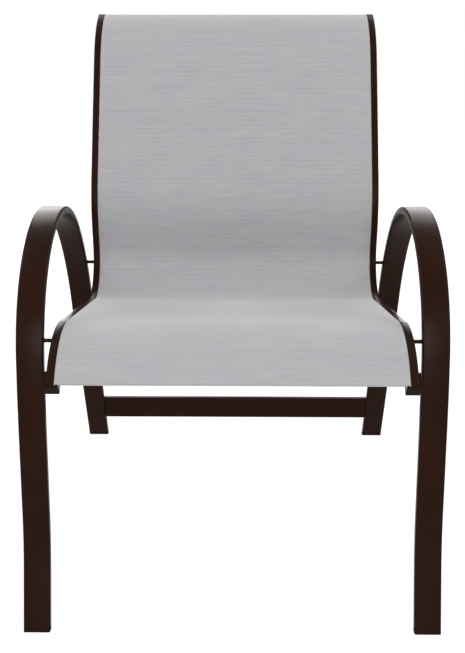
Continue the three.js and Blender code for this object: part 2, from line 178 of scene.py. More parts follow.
for hand, side in HANDS.items():
    lamp(f"{hand} upper lamp", UPPER_LAMP_PLACE, SEAT_AIM, LAMP_SIZE, UPPER_LAMP_WATTS, side)
    lamp(f"{hand} corner lamp", CORNER_LAMP_PLACE, SEAT_AIM, LAMP_SIZE, CORNER_LAMP_WATTS, side)
lamp("front lamp", FRONT_LAMP_PLACE, SEAT_AIM, LAMP_SIZE, FRONT_LAMP_WATTS)
for hand, side in HANDS.items():
    lamp(f"{hand} back lamp", BACK_LAMP_PLACE, ARM_AIM, BACK_LAMP_SIZE, BACK_LAMP_WATTS[hand], side)
    lamp(f"{hand} low lamp", LOW_LAMP_PLACE, SEAT_AIM, LOW_LAMP_SIZE, LOW_LAMP_WATTS, side)
    lamp(f"{hand} near lamp", NEAR_LAMP_PLACE, SEAT_AIM, NEAR_LAMP_SIZE, NEAR_LAMP_WATTS, side)


# Side frames. Each is one flat aluminium tube, 40 by 12.7 mm with a 2 mm wall, bent into front leg, arm and
# rear leg, and powder coated dark brown. The bends are those of the bender, from the front foot onwards: a
# straight has its length, and a bend its radius and its turn in degrees.
TUBE_WIDTH = 0.0402
TUBE_THICKNESS = 0.0127
TUBE_WALL = 0.002
TUBE_CORNER = 0.003
CORNER_SEGMENTS = 5
BEND_STEP = math.radians(2.5)
SMOOTH_ANGLE = math.radians(40)
FOOT_ANGLE = math.radians(71.2)
FRAME_RUN = [
    ("straight", 0.093), ("bend", 0.463, 10.8), ("straight", 0.1321), ("bend", 1.190, -5),
    ("bend", 0.2124, -122.2), ("bend", 0.396, -26.8), ("straight", 0.133), ("bend", 0.436, 2.2),
    ("straight", 0.240),
]
ACROSS_X = Vector((1, 0, 0))
ALONG_Y = Vector((0, 1, 0))
UP_Z = Vector((0, 0, 1))
TOUCH_DISTANCE = 1e-6


def directions(angle, along, up):
    """The ways ahead and sideways of a bar that climbs at an angle from along towards up"""
    ahead = math.cos(angle) * along + math.sin(angle) * up
    side = math.cos(angle) * up - math.sin(angle) * along
    return ahead, side


def run_length(run):
    """The length of a bent bar, along the line that it is drawn from"""
    return sum(size * math.radians(abs(turn[0])) if turn else size for _, size, *turn in run)


def walk(run, distance, place, angle):
    """The place and the directions of a bent bar that stands upright, a distance along its run"""
    place = place.copy()
    for kind, size, *turn in run:
        ahead, side = directions(angle, ALONG_Y, UP_Z)
        if kind == "straight":
            step = min(size, distance)
            place += step * ahead
        else:
            way = math.copysign(1, turn[0])
            step = min(size * math.radians(abs(turn[0])), distance)
            turned = way * step / size
            place += size * (math.sin(abs(turned)) * ahead + way * (1 - math.cos(turned)) * side)
            angle += turned
        distance -= step
        if distance <= 0:
            break
    return place, *directions(angle, ALONG_Y, UP_Z)


def edit(piece):
    """Opens a piece in edit mode, with all of it selected"""
    bpy.ops.object.select_all(action="DESELECT")
    bpy.context.view_layer.objects.active = piece
    piece.select_set(True)
    bpy.ops.object.mode_set(mode="EDIT")
    bpy.ops.mesh.select_all(action="SELECT")


def close_up(piece, smooth_angle=SMOOTH_ANGLE):
    """Leaves edit mode with doubles merged, faces pointing outwards and smooth shading up to an angle"""
    bpy.ops.mesh.select_all(action="SELECT")
    bpy.ops.mesh.remove_doubles(threshold=TOUCH_DISTANCE)
    bpy.ops.mesh.normals_make_consistent(inside=False)
    bpy.ops.object.mode_set(mode="OBJECT")
    bpy.ops.object.shade_smooth_by_angle(angle=smooth_angle)


def blank(name, width, height):
    """A rectangle about the origin, opened to be shaped into a section"""
    bpy.ops.object.select_all(action="DESELECT")
    bpy.ops.mesh.primitive_plane_add(size=1)
    piece = bpy.context.object
    piece.name = name
    piece.data.name = name
    piece.scale = (width, height, 1)
    bpy.ops.object.transform_apply(location=False, rotation=False, scale=True)
    edit(piece)
    return piece


def lay(piece, width_way, height_way, ahead, place):
    """Lays an open section across a bar, with its width and height along given directions"""
    bpy.ops.object.mode_set(mode="OBJECT")
    turn = Matrix((width_way, height_way, ahead)).transposed().to_4x4()
    turn.translation = place
    piece.data.transform(turn)
    edit(piece)


def section(name, width, height, corner, *laid):
    """A rounded rectangle, opened and laid across a bar: the face that the bar is drawn from"""
    piece = blank(name, width, height)
    bpy.ops.mesh.bevel(
        offset=corner, offset_type="OFFSET", segments=CORNER_SEGMENTS, affect="VERTICES"
    )
    lay(piece, *laid)
    return piece


def hollow(wall):
    """Opens the selected section, so that a wall is left all round"""
    bpy.ops.mesh.inset(thickness=wall)
    bpy.ops.mesh.delete(type="FACE")
    bpy.ops.mesh.select_all(action="SELECT")


def draw_out(by):
    """Draws what is selected into a bar, straight and by a given way"""
    bpy.ops.mesh.extrude_region_move(TRANSFORM_OT_translate={"value": by})


def draw_bar(run, place, angle, along, up):
    """Draws the selected section through straights and bends, as a tube bender does"""
    place = place.copy()
    axis = along.cross(up)
    for kind, size, *turn in run:
        ahead, side = directions(angle, along, up)
        if kind == "straight":
            draw_out(size * ahead)
            place += size * ahead
        else:
            turned = math.radians(turn[0])
            centre = place + math.copysign(size, turned) * side
            bpy.ops.mesh.spin(
                steps=math.ceil(abs(turned) / BEND_STEP), angle=-turned, center=centre, axis=axis
            )
            place = centre + Matrix.Rotation(turned, 3, axis) @ (place - centre)
            angle += turned


def reach(piece, axis, end):
    """How far a piece reaches along an axis, towards its min or max end"""
    return end(getattr(vertex.co, axis) for vertex in piece.data.vertices)


def dress(piece, finish):
    """Gives a piece its only material"""
    piece.data.materials.clear()
    piece.data.materials.append(finish)


def declare(piece, node_name, finish):
    """Gives a finished piece its material and body, and puts it in the place of its CAD node"""
    dress(piece, finish)
    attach(piece, "root")
    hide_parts(node_name)


def declare_both(piece, node_name, finish):
    """Declares a left piece, and its mirrored copy for the sitter's right with a mesh of its own"""
    declare(piece, f"{node_name}_left", finish)
    bpy.ops.object.select_all(action="DESELECT")
    copy = piece.copy()
    copy.data = piece.data.copy()
    copy.name = piece.name.removesuffix("left") + "right"
    copy.data.name = copy.name
    bpy.context.collection.objects.link(copy)
    copy.data.transform(Matrix.Scale(-1, 4, ACROSS_X))
    copy.data.flip_normals()
    declare(copy, f"{node_name}_right", finish)


def per_metre(millimetres):
    """How often a pattern of so many millimetres fits into a metre"""
    return 1000 / millimetres


# Polyester powder coat, baked on aluminium: a dark brown plastic skin that shines where light grazes it. The
# powder melts into a faint orange peel, here a little coarser than the real 0.8 mm, so that it shows.
COAT_BROWN = "261107"
COAT_BROWN_DARK = "1e0d05"
COAT_TONE_MM = 60
COAT_PEEL_MM = 1.4
COAT_PEEL_HEIGHT = 0.0003
COAT_ROUGHNESS = (0.23, 0.31)

coat, tree, output = material("brown powder coat on aluminium")
place_on_piece = node(tree, "ShaderNodeTexCoord").outputs["Object"]
tone = node(tree, "ShaderNodeTexNoise", {
    "Vector": place_on_piece, "Scale": per_metre(COAT_TONE_MM), "Detail": 2,
})
brown = node(tree, "ShaderNodeMix", {
    "Factor": tone.outputs["Fac"], "A": linear(COAT_BROWN_DARK), "B": linear(COAT_BROWN),
}, data_type="RGBA")
peel = node(tree, "ShaderNodeTexNoise", {
    "Vector": place_on_piece, "Scale": per_metre(COAT_PEEL_MM), "Detail": 1,
})
shine = node(tree, "ShaderNodeMapRange", {
    "Value": peel.outputs["Fac"], "To Min": COAT_ROUGHNESS[0], "To Max": COAT_ROUGHNESS[1],
})
bump = node(tree, "ShaderNodeBump", {
    "Height": peel.outputs["Fac"], "Strength": 0.06, "Distance": COAT_PEEL_HEIGHT,
})
skin = node(tree, "ShaderNodeBsdfPrincipled", {
    "Base Color": brown.outputs["Result"], "Roughness": shine.outputs[0], "Normal": bump.outputs[0],
    "Specular IOR Level": 0.06,
})
tree.links.new(skin.outputs[0], output.inputs["Surface"])

frame_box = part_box("side_frame_left")
tube_middle_x = (frame_box[0][0] + frame_box[1][0]) / 2
foot_start = Vector((tube_middle_x, 0, 0))
foot_ahead, foot_side = directions(FOOT_ANGLE, ALONG_Y, UP_Z)
side_frame = section(
    "bent_side_frame_left", TUBE_WIDTH, TUBE_THICKNESS, TUBE_CORNER,
    ACROSS_X, foot_side, foot_ahead, foot_start
)
hollow(TUBE_WALL)
draw_bar(FRAME_RUN, foot_start, FOOT_ANGLE, ALONG_Y, UP_Z)
bpy.ops.mesh.select_all(action="SELECT")
bpy.ops.mesh.bisect(
    plane_co=(0, 0, frame_box[0][2]), plane_no=-UP_Z, use_fill=True, clear_outer=True
)
close_up(side_frame)
frame_shift = Vector((0, frame_box[0][1] - reach(side_frame, "y", min), 0))
side_frame.data.transform(Matrix.Translation(frame_shift))
declare_both(side_frame, "side_frame", coat)


# Glides. Plastic plugs in the four tube ends, as broad as the tube, with a flat sole that stands on the
# floor. They are moulded nylon, coloured to go with the coat, with a finely eroded surface from the mould.
GLIDE_SEAM = 0.0003
NYLON_BROWN = "20120b"
NYLON_GRAIN_MM = 0.9
NYLON_GRAIN_HEIGHT = 0.0002
NYLON_ROUGHNESS = (0.82, 0.96)

nylon, tree, output = material("moulded brown nylon")
grain = node(tree, "ShaderNodeTexNoise", {
    "Vector": node(tree, "ShaderNodeTexCoord").outputs["Object"],
    "Scale": per_metre(NYLON_GRAIN_MM), "Detail": 2,
})
dull = node(tree, "ShaderNodeMapRange", {
    "Value": grain.outputs["Fac"], "To Min": NYLON_ROUGHNESS[0], "To Max": NYLON_ROUGHNESS[1],
})
bump = node(tree, "ShaderNodeBump", {
    "Height": grain.outputs["Fac"], "Strength": 0.2, "Distance": NYLON_GRAIN_HEIGHT,
})
moulding = node(tree, "ShaderNodeBsdfPrincipled", {
    "Base Color": linear(NYLON_BROWN), "Roughness": dull.outputs[0], "Normal": bump.outputs[0],
    "Specular IOR Level": 0.08, "IOR": 1.53,
})
tree.links.new(moulding.outputs[0], output.inputs["Surface"])

frame_start = foot_start + frame_shift
rear_end, rear_ahead, _ = walk(FRAME_RUN, run_length(FRAME_RUN), frame_start, FOOT_ANGLE)
rear_foot = rear_end - rear_ahead * rear_end.z / rear_ahead.z
glide_rise = frame_box[0][2] - GLIDE_SEAM
for end, foot, upwards in (("front", frame_start, foot_ahead), ("rear", rear_foot, -rear_ahead)):
    glide = section(
        f"foot_glide_{end}_left", TUBE_WIDTH, TUBE_THICKNESS / upwards.z, TUBE_CORNER,
        ACROSS_X, ALONG_Y, UP_Z, foot
    )
    draw_out(upwards * glide_rise / upwards.z)
    close_up(glide)
    declare_both(glide, f"glide_{end}", nylon)


# Rear stretcher. A length of flat tube, 44 mm broad and set upright, welded all round to the inner edges of
# the rear legs. The welds are dressed to small hollow fillets under the coat. Each step of a fillet has its
# distance from the leg, and the share of the fillet's reach that is left there.
STRETCHER_WIDTH = 0.044
WELD_REACH = 0.0016
WELD_STEPS = [(0.0, 1.0), (0.0004, 0.55), (0.0009, 0.22), (0.0016, 0.02)]
WELD_SMOOTH_ANGLE = math.radians(60)

leg_inner_x = tube_middle_x - TUBE_WIDTH / 2
stretcher_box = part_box("rear_stretcher")
stretcher_height = (stretcher_box[0][2] + stretcher_box[1][2]) / 2
stretcher_y = (rear_end + rear_ahead * (stretcher_height - rear_end.z) / rear_ahead.z).y
stretcher = section(
    "welded_rear_stretcher", STRETCHER_WIDTH, TUBE_THICKNESS, TUBE_CORNER,
    UP_Z, -ALONG_Y, ACROSS_X, Vector((stretcher_box[0][0], stretcher_y, stretcher_height))
)
hollow(TUBE_WALL)
draw_out((stretcher_box[1][0] - stretcher_box[0][0]) * ACROSS_X)
close_up(stretcher)
declare(stretcher, "rear_stretcher", coat)


def add_trim(piece, finish):
    """Gives a piece that stands for no CAD node its material and body"""
    dress(piece, finish)
    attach(piece, "root")


def narrowing(size, fillet, share, next_share):
    """The ratio by which a bar with its fillet all round narrows from one step of a weld to the next"""
    return (size / 2 + next_share * fillet) / (size / 2 + share * fillet)


for hand, side in HANDS.items():
    weld = section(
        f"stretcher_weld_{hand}", STRETCHER_WIDTH + 2 * WELD_REACH, TUBE_THICKNESS + 2 * WELD_REACH,
        TUBE_CORNER + WELD_REACH,
        UP_Z, -ALONG_Y, ACROSS_X, Vector((side * leg_inner_x, stretcher_y, stretcher_height))
    )
    for (away, share), (next_away, next_share) in zip(WELD_STEPS, WELD_STEPS[1:]):
        draw_out((away - next_away) * side * ACROSS_X)
        thinner = narrowing(TUBE_THICKNESS, WELD_REACH, share, next_share)
        narrower = narrowing(STRETCHER_WIDTH, WELD_REACH, share, next_share)
        bpy.ops.transform.resize(
            value=(1, thinner, narrower), center_override=(0, stretcher_y, stretcher_height)
        )
    close_up(weld, WELD_SMOOTH_ANGLE)
    add_trim(weld, coat)


# Sling rails. Extruded aluminium, 17 by 24 mm, with a groove in the face that holds the sling's pocket and
# its spline. Each rail is bent into an S from the front edge of the seat to the top of the back, and coated.
RAIL_WIDTH = 0.0172
RAIL_DEPTH = 0.024
RAIL_CORNER = 0.0016
GROOVE_INSET = 0.0128
GROOVE_SLOT = 0.0026
GROOVE_WIDTH = 0.0057
GROOVE_LIP = 0.002
GROOVE_BOTTOM = 0.0077
GROOVE_ROUNDING = 0.0012
ROUNDING_SEGMENTS = 4
LEVEL_ANGLE = math.radians(1)
RAIL_FRONT_ANGLE = math.radians(44.5)
RAIL_RUN = [
    ("straight", 0.021), ("bend", 0.130, -56), ("straight", 0.269), ("bend", 0.071, 103.4),
    ("straight", 0.033), ("bend", 0.194, -28.9), ("straight", 0.223), ("bend", 0.144, -40.5),
    ("straight", 0.011),
]

rail_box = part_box("sling_rail_left")
rail_outer_x = rail_box[1][0]
rail_middle_x = (rail_box[0][0] + rail_box[1][0]) / 2
groove_x = rail_outer_x - GROOVE_INSET
rail_ahead, rail_side = directions(RAIL_FRONT_ANGLE, ALONG_Y, UP_Z)
slot_x = RAIL_WIDTH / 2 - GROOVE_INSET


def split_at(place, facing):
    """Cuts the faces of an open piece along a plane"""
    bpy.ops.mesh.select_all(action="SELECT")
    bpy.ops.mesh.bisect(plane_co=place, plane_no=facing)


def pick(piece, kind, wanted):
    """Selects the wanted faces or verts of an open piece, and nothing else"""
    bpy.ops.mesh.select_all(action="DESELECT")
    shape = bmesh.from_edit_mesh(piece.data)
    for part in getattr(shape, kind):
        if wanted(part):
            part.select_set(True)
    bmesh.update_edit_mesh(piece.data)


def in_groove(face):
    """Whether a face of the section lies in the groove's slot or in the wider groove under it"""
    middle = face.calc_center_median()
    off = abs(middle.x - slot_x)
    depth = RAIL_DEPTH / 2 - middle.y
    in_slot = off < GROOVE_SLOT / 2 and depth < GROOVE_LIP
    return in_slot or (off < GROOVE_WIDTH / 2 and GROOVE_LIP < depth < GROOVE_BOTTOM)


def at_outer_corner(vertex):
    """Whether a point is one of the section's four corners"""
    x, y = abs(vertex.co.x), abs(vertex.co.y)
    return abs(x - RAIL_WIDTH / 2) < TOUCH_DISTANCE and abs(y - RAIL_DEPTH / 2) < TOUCH_DISTANCE


def at_groove_corner(vertex):
    """Whether a point is one of the groove's corners under the lips"""
    off = abs(vertex.co.x - slot_x)
    return abs(off - GROOVE_WIDTH / 2) < TOUCH_DISTANCE and RAIL_DEPTH / 2 - vertex.co.y > GROOVE_LIP / 2


rail = blank("bent_sling_rail_left", RAIL_WIDTH, RAIL_DEPTH)
for width in (-GROOVE_WIDTH, -GROOVE_SLOT, GROOVE_SLOT, GROOVE_WIDTH):
    split_at((slot_x + width / 2, 0, 0), ACROSS_X)
for depth in (GROOVE_LIP, GROOVE_BOTTOM):
    split_at((0, RAIL_DEPTH / 2 - depth, 0), ALONG_Y)
pick(rail, "faces", in_groove)
bpy.ops.mesh.delete(type="FACE")
bpy.ops.mesh.select_all(action="SELECT")
bpy.ops.mesh.dissolve_limited(angle_limit=LEVEL_ANGLE)
for corners, rounding in ((at_outer_corner, RAIL_CORNER), (at_groove_corner, GROOVE_ROUNDING)):
    pick(rail, "verts", corners)
    bpy.ops.mesh.bevel(
        offset=rounding, offset_type="OFFSET", segments=ROUNDING_SEGMENTS, affect="VERTICES"
    )
rail_start = Vector((rail_middle_x, 0, 0))
lay(rail, ACROSS_X, rail_side, rail_ahead, rail_start - rail_side * RAIL_DEPTH / 2)
draw_bar(RAIL_RUN, rail_start, RAIL_FRONT_ANGLE, ALONG_Y, UP_Z)
close_up(rail)
rail_shift = Vector((0, rail_box[0][1] - reach(rail, "y", min), rail_box[1][2] - reach(rail, "z", max)))
rail.data.transform(Matrix.Translation(rail_shift))
rail_start += rail_shift

# Countersunk screws of the spreader bars pass through the rail, so each rail has three countersunk holes.
SCREW_RADIUS = 0.0025
SCREW_HEAD_RADIUS = 0.0046
SCREW_HEAD_DEPTH = 0.0021
SCREW_PLAY = 0.0003
HOLE_SIDES = 40
ROWS = ("front", "seat", "back")


def middle_of(node_name):
    """The middle of a CAD node's box"""
    low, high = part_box(node_name)
    return (Vector(low) + Vector(high)) / 2


def disc(name, sides, radius, place):
    """A round face across X, opened: a round bar or a cutter is drawn from it"""
    bpy.ops.object.select_all(action="DESELECT")
    bpy.ops.mesh.primitive_circle_add(
        vertices=sides, radius=radius, fill_type="NGON", rotation=(0, math.pi / 2, 0), location=place
    )
    piece = bpy.context.object
    piece.name = name
    piece.data.name = name
    bpy.ops.object.transform_apply(location=True, rotation=True, scale=True)
    edit(piece)
    return piece


def carve(piece, cutter):
    """Cuts a closed shape out of a piece"""
    bpy.ops.object.select_all(action="DESELECT")
    bpy.context.view_layer.objects.active = piece
    cut = piece.modifiers.new("cut", "BOOLEAN")
    cut.operation = "DIFFERENCE"
    cut.solver = "EXACT"
    cut.object = cutter
    bpy.ops.object.modifier_apply(modifier=cut.name)
    bpy.data.objects.remove(cutter)


def countersink(place):
    """A round cutter through the rail along X, that widens to the screw's head at the outer face"""
    bore = SCREW_RADIUS + SCREW_PLAY
    mouth = SCREW_HEAD_RADIUS + SCREW_PLAY
    x = rail_outer_x - RAIL_WIDTH - SCREW_HEAD_DEPTH
    cutter = disc("countersink", HOLE_SIDES, bore, (x, place.y, place.z))
    for next_x, ratio in (
        (rail_outer_x - SCREW_HEAD_DEPTH - SCREW_PLAY, 1), (rail_outer_x, mouth / bore),
        (rail_outer_x + SCREW_HEAD_DEPTH, 1),
    ):
        draw_out((next_x - x, 0, 0))
        bpy.ops.transform.resize(value=(1, ratio, ratio), center_override=(next_x, place.y, place.z))
        x = next_x
    close_up(cutter)
    return cutter


for row in ROWS:
    carve(rail, countersink(middle_of(f"spreader_screw_{row}_left")))
bpy.ops.object.select_all(action="DESELECT")
rail.select_set(True)
bpy.context.view_layer.objects.active = rail
bpy.ops.object.shade_smooth_by_angle(angle=SMOOTH_ANGLE)
declare_both(rail, "sling_rail", coat)


# Rail caps. Each end of a rail is closed by a moulded plastic cap whose flange covers the whole section,
# with rounded edges. A front cap also has a bumper along the rail's outer side, beside the front leg.
CAP_FLANGE = 0.0024
CAP_ROUNDING = 0.0009
CAP_SEAM = 0.0003
BUMPER_WIDTH = 0.0038
BUMPER_LENGTH = 0.024
BUMPER_DROP = 0.003

rail_length = run_length(RAIL_RUN)
rail_top, top_ahead, top_side = walk(RAIL_RUN, rail_length, rail_start, RAIL_FRONT_ANGLE)
bumper_x = rail_outer_x + CAP_SEAM
bumper_top = rail_start - rail_side * BUMPER_DROP


def bears_bumper(face):
    """Whether a face of the front flange looks back along the rail's outer side, below the bumper's top"""
    middle = face.calc_center_median()
    beside = middle.x > bumper_x and (middle - bumper_top).dot(rail_side) < 0
    return beside and abs((rail_start - middle).dot(rail_ahead) - CAP_SEAM) < TOUCH_DISTANCE


for end, place, outwards, side, bumper in (
    ("front", rail_start, -rail_ahead, rail_side, BUMPER_WIDTH), ("top", rail_top, top_ahead, top_side, 0)
):
    seat = place - side * RAIL_DEPTH / 2 + outwards * CAP_SEAM + bumper / 2 * ACROSS_X
    cap = section(
        f"moulded_rail_cap_{end}_left", RAIL_WIDTH + bumper, RAIL_DEPTH, RAIL_CORNER,
        ACROSS_X, side, outwards, seat
    )
    draw_out(outwards * CAP_FLANGE)
    if bumper:
        split_at((bumper_x, 0, 0), ACROSS_X)
        split_at(bumper_top, rail_side)
        pick(cap, "faces", bears_bumper)
        draw_out(-outwards * BUMPER_LENGTH)
    close_up(cap)
    rounding = cap.modifiers.new("moulded edges", "BEVEL")
    rounding.width = CAP_ROUNDING
    rounding.segments = ROUNDING_SEGMENTS
    bpy.ops.object.modifier_apply(modifier=rounding.name)
    bpy.ops.object.shade_smooth_by_angle(angle=SMOOTH_ANGLE)
    declare_both(cap, f"rail_cap_{end}", nylon)


# Rail pins. Short lengths of 6 mm round bar that carry the rails: one end is welded to the rail and the
# other to the inner edge of the side frame, each with a small fillet of weld under the coat.
PIN_RADIUS = 0.0029
PIN_WELD = 0.0015
PIN_SIDES = 36
PIN_SMOOTH_ANGLE = math.radians(50)

pin_profile = [(rail_outer_x + away, share) for away, share in WELD_STEPS]
pin_profile += [(leg_inner_x - away, share) for away, share in reversed(WELD_STEPS)]
for row in ("front", "rear"):
    place = middle_of(f"rail_pin_{row}_left")
    pin = disc(
        f"welded_rail_pin_{row}_left", PIN_SIDES, PIN_RADIUS + PIN_WELD, (rail_outer_x, place.y, place.z)
    )
    for (x, share), (next_x, next_share) in zip(pin_profile, pin_profile[1:]):
        draw_out((next_x - x, 0, 0))
        ratio = narrowing(2 * PIN_RADIUS, PIN_WELD, share, next_share)
        bpy.ops.transform.resize(value=(1, ratio, ratio), center_override=(next_x, place.y, place.z))
    close_up(pin, PIN_SMOOTH_ANGLE)
    declare_both(pin, f"rail_pin_{row}", coat)


# Spreader bars. Three round tubes between the rails, under the front and rear of the seat and behind the
# back, bowed away from the sitter. They hold the rails apart, so that the sling stays tight.
SPREADER_RADIUS = 0.008
SPREADER_WALL = 0.0016
SPREADER_END = 0.030
SPREADER_KNUCKLE = 0.060
SPREADER_BOW = 14
SPREADER_SIDES = 40
SPREADER_SEAM = 0.0003

spreader_half = rail_outer_x - RAIL_WIDTH - SPREADER_SEAM
spreader_sweep = (spreader_half - SPREADER_END) / math.sin(math.radians(SPREADER_BOW)) - SPREADER_KNUCKLE
SPREADER_RUN = [
    ("straight", SPREADER_END), ("bend", SPREADER_KNUCKLE, -SPREADER_BOW),
    ("bend", spreader_sweep, 2 * SPREADER_BOW), ("bend", SPREADER_KNUCKLE, -SPREADER_BOW),
    ("straight", SPREADER_END),
]
for row in ROWS:
    place = middle_of(f"spreader_screw_{row}_left")
    bow = middle_of(f"spreader_{row}") - place
    bow.x = 0
    start = Vector((-spreader_half, place.y, place.z))
    spreader = disc(f"bowed_spreader_{row}", SPREADER_SIDES, SPREADER_RADIUS, start)
    hollow(SPREADER_WALL)
    draw_bar(SPREADER_RUN, start, 0, ACROSS_X, -bow.normalized())
    close_up(spreader)
    declare(spreader, f"spreader_{row}", coat)


# Spreader fixings. A threaded steel plug in each end of a spreader, and a countersunk screw with a hexagon
# socket through the rail into it. Both are zinc plated: a bright grey with a fine, slightly blotchy sheen.
SCREW_SIDES = 48
SCREW_ROUNDING = 0.0003
SCREW_ROUNDING_SEGMENTS = 2
SOCKET_RADIUS = 0.0018
SOCKET_DEPTH = 0.0014
SOCKET_SIDES = 6
ZINC_GREY = "a9a7a2"
ZINC_GREY_DARK = "8b8985"
ZINC_BLOTCH_MM = 2.5
ZINC_ROUGHNESS = (0.28, 0.42)

zinc, tree, output = material("bright zinc plating on steel")
blotch = node(tree, "ShaderNodeTexNoise", {
    "Vector": node(tree, "ShaderNodeTexCoord").outputs["Object"],
    "Scale": per_metre(ZINC_BLOTCH_MM), "Detail": 3,
})
grey = node(tree, "ShaderNodeMix", {
    "Factor": blotch.outputs["Fac"], "A": linear(ZINC_GREY_DARK), "B": linear(ZINC_GREY),
}, data_type="RGBA")
sheen = node(tree, "ShaderNodeMapRange", {
    "Value": blotch.outputs["Fac"], "To Min": ZINC_ROUGHNESS[0], "To Max": ZINC_ROUGHNESS[1],
})
plating = node(tree, "ShaderNodeBsdfPrincipled", {
    "Base Color": grey.outputs["Result"], "Metallic": 1, "Roughness": sheen.outputs[0],
})
tree.links.new(plating.outputs[0], output.inputs["Surface"])

for row in ROWS:
    place = middle_of(f"spreader_screw_{row}_left")
    low_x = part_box(f"spreader_screw_{row}_left")[0][0]
    screw = disc(
        f"countersunk_screw_{row}_left", SCREW_SIDES, SCREW_RADIUS, (low_x, place.y, place.z)
    )
    draw_out((rail_outer_x - SCREW_HEAD_DEPTH - low_x, 0, 0))
    draw_out((SCREW_HEAD_DEPTH, 0, 0))
    bpy.ops.transform.resize(
        value=(1, SCREW_HEAD_RADIUS / SCREW_RADIUS, SCREW_HEAD_RADIUS / SCREW_RADIUS),
        center_override=(rail_outer_x, place.y, place.z)
    )
    bpy.ops.mesh.bevel(offset=SCREW_ROUNDING, segments=SCREW_ROUNDING_SEGMENTS, affect="EDGES")
    close_up(screw)
    bpy.ops.object.select_all(action="DESELECT")
    bpy.ops.mesh.primitive_cylinder_add(
        vertices=SOCKET_SIDES, radius=SOCKET_RADIUS, depth=2 * SOCKET_DEPTH,
        rotation=(0, math.pi / 2, 0), location=(rail_outer_x, place.y, place.z)
    )
    socket = bpy.context.object
    bpy.ops.object.transform_apply(location=True, rotation=True, scale=True)
    carve(screw, socket)
    declare_both(screw, f"spreader_screw_{row}", zinc)
    for hand in HANDS:
        dress(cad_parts[f"spreader_plug_{row}_{hand}"], zinc)


# Splines. Grey extruded PVC rods, pushed through the sling's pockets inside the grooves, with a faint haze
# from the die along them.
SPLINE_GREY = "8a8a8c"
SPLINE_HAZE_MM = 4
SPLINE_ROUGHNESS = (0.35, 0.5)

pvc, tree, output = material("extruded grey PVC")
haze = node(tree, "ShaderNodeTexNoise", {
    "Vector": node(tree, "ShaderNodeTexCoord").outputs["Object"], "Scale": per_metre(SPLINE_HAZE_MM),
})
dull = node(tree, "ShaderNodeMapRange", {
    "Value": haze.outputs["Fac"], "To Min": SPLINE_ROUGHNESS[0], "To Max": SPLINE_ROUGHNESS[1],
})
rod = node(tree, "ShaderNodeBsdfPrincipled", {
    "Base Color": linear(SPLINE_GREY), "Roughness": dull.outputs[0], "IOR": 1.53,
})
tree.links.new(rod.outputs[0], output.inputs["Surface"])
for hand in HANDS:
    dress(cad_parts[f"spline_{hand}"], pvc)


# Sling. One piece of woven mesh, PVC-coated polyester yarn in light grey, stretched between the rails from
# the top of the back to the front edge of the seat. Each side is sewn into a pocket round a spline.
SLING_THICKNESS = 0.001
SLING_CLEARANCE = 0.0003
SLING_SAG = 0.004
SAG_EASE = 0.09
HEM_LENGTH = 0.014
SLING_INSET = 0.002
SLOT_TURN = 0.0012
POCKET_RADIUS = 0.002
POCKET_DEPTH = 0.00485
POCKET_WRAP = math.radians(325)
ROW_PITCH = 0.003
FLAT_COLUMNS = 26
TURN_COLUMNS = 4
DROP_COLUMNS = 2
POCKET_COLUMNS = 14

sling_lift = SLING_CLEARANCE + SLING_THICKNESS / 2
flat_half = groove_x - SLOT_TURN
turn_length = SLOT_TURN * math.pi / 2
drop_length = sling_lift - SLOT_TURN + POCKET_DEPTH - POCKET_RADIUS
pocket_length = POCKET_RADIUS * POCKET_WRAP
sling_length = rail_length - 2 * SLING_INSET


def steps(start, length, count):
    """Places in even steps over a length, without its start"""
    return [start + length * i / count for i in range(1, count + 1)]


def sag_at(along):
    """The cloth's sag at a distance from its front edge: none in the tight hems, all of it between them"""
    share = (min(along, sling_length - along) - HEM_LENGTH) / SAG_EASE
    share = max(0, min(1, share))
    return SLING_SAG * share ** 2 * (3 - 2 * share)


def across_sling(distance, sag):
    """X, and the height over the rail's face, of the cloth a distance from its middle line"""
    way = math.copysign(1, distance)
    left = abs(distance)
    if left <= flat_half:
        share = left / groove_x
        return way * left, sling_lift - sag * (1 - share ** 2)
    left -= flat_half
    edge_height = sling_lift - sag * (1 - (flat_half / groove_x) ** 2)
    if left <= turn_length:
        angle = left / SLOT_TURN
        x = flat_half + SLOT_TURN * math.sin(angle)
        return way * x, edge_height - SLOT_TURN * (1 - math.cos(angle))
    left -= turn_length
    if left <= drop_length:
        return way * groove_x, edge_height - SLOT_TURN - left
    angle = (left - drop_length) / POCKET_RADIUS
    x = groove_x + POCKET_RADIUS * math.sin(angle)
    return way * x, -POCKET_DEPTH + POCKET_RADIUS * math.cos(angle)


def on_sling(along):
    """The rail's face and directions under the cloth, a distance from the cloth's front edge"""
    return walk(RAIL_RUN, SLING_INSET + along, rail_start, RAIL_FRONT_ANGLE)


